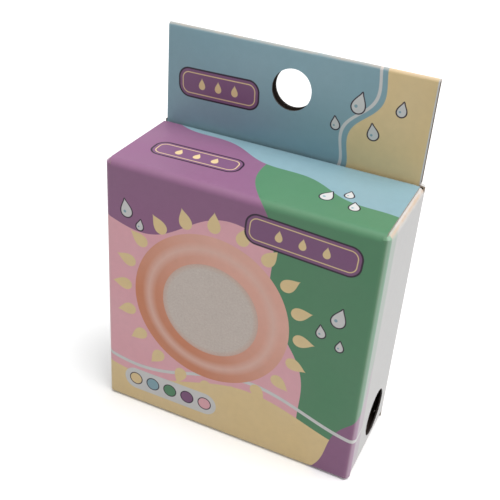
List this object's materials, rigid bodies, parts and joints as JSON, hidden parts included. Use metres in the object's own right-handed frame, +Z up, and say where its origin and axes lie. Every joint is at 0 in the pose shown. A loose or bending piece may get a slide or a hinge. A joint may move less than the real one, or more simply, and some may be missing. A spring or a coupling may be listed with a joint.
{
  "type": "boxed finger moistener",
  "caption": "Round sponge finger moistener packed in a printed folding carton with a tuck lid, a round side window and a folded hanging tab with a hook hole.",
  "frame": {"origin": "on the standing surface, under the middle of the carton's outside box", "axes": "+Z up, -Y out of the printed front, +X towards the side with the window"},
  "size_m": [0.087, 0.0362, 0.1204],
  "materials": {
    "print_pink": "satin print",
    "print_lilac": "satin print",
    "print_blue": "satin print",
    "print_pale": "satin print",
    "bare_board": "matte",
    "bowl_plastic": "gloss",
    "rim_plastic": "gloss",
    "sponge": "open foam"
  },
  "bodies": {
    "carton": {"front_panel": "print_pink", "back_panel": "print_lilac", "hang_tab_front_ply": "print_blue", "glue_flap": "bare_board", "left_side_panel": "print_pale", "right_side_panel": "print_pale"},
    "lid": {"lid_panel": "print_lilac"},
    "lid_tuck": {"lid_tuck_flap": "bare_board"},
    "top_dust_right": {"top_dust_flap_right": "bare_board"},
    "top_dust_left": {"top_dust_flap_left": "bare_board"},
    "bottom": {"bottom_panel": "print_lilac"},
    "bottom_tuck": {"bottom_tuck_flap": "bare_board"},
    "bottom_dust_right": {"bottom_dust_flap_right": "bare_board"},
    "bottom_dust_left": {"bottom_dust_flap_left": "bare_board"},
    "dish": {"outer_bowl": "bowl_plastic", "rim_insert": "rim_plastic", "sponge_pad": "sponge"}
  },
  "joints": [
    {"name": "lid_open", "type": "hinge", "parent": "carton", "child": "lid", "pos_m": [0, -0.01775, 0.08835], "axis": [1, 0, 0], "range_deg": [0, 170]},
    {"name": "lid_tuck_fold", "type": "hinge", "parent": "lid", "child": "lid_tuck", "pos_m": [0, 0.01541, 0.08814], "axis": [-1, 0, 0], "range_deg": [0, 40]},
    {"name": "top_dust_right_open", "type": "hinge", "parent": "carton", "child": "top_dust_right", "pos_m": [0.0432, 0, 0.0878], "axis": [0, 1, 0], "range_deg": [0, 95]},
    {"name": "top_dust_left_open", "type": "hinge", "parent": "carton", "child": "top_dust_left", "pos_m": [-0.0432, 0, 0.0878], "axis": [0, -1, 0], "range_deg": [0, 95]},
    {"name": "bottom_open", "type": "hinge", "parent": "carton", "child": "bottom", "pos_m": [0, -0.01775, 0.00035], "axis": [-1, 0, 0], "range_deg": [0, 170]},
    {"name": "bottom_tuck_fold", "type": "hinge", "parent": "bottom", "child": "bottom_tuck", "pos_m": [0, 0.01621, 0.00056], "axis": [1, 0, 0], "range_deg": [0, 40]},
    {"name": "bottom_dust_right_open", "type": "hinge", "parent": "carton", "child": "bottom_dust_right", "pos_m": [0.0432, 0, 0.0009], "axis": [0, -1, 0], "range_deg": [0, 95]},
    {"name": "bottom_dust_left_open", "type": "hinge", "parent": "carton", "child": "bottom_dust_left", "pos_m": [-0.0432, 0, 0.0009], "axis": [0, 1, 0], "range_deg": [0, 95]},
    {"name": "dish_lift", "type": "slide", "parent": "carton", "child": "dish", "axis": [0, 0, 1], "range_m": [0, 0.031]}
  ],
  "couplings": [
    {"joint": "lid_open", "follows": "dish_lift", "rad_per_m": 95.7},
    {"joint": "top_dust_right_open", "follows": "dish_lift", "rad_per_m": 52.6},
    {"joint": "top_dust_left_open", "follows": "dish_lift", "rad_per_m": 52.6},
    {"joint": "bottom_dust_right_open", "follows": "bottom_open", "ratio": 0.55},
    {"joint": "bottom_dust_left_open", "follows": "bottom_open", "ratio": 0.55}
  ]
}
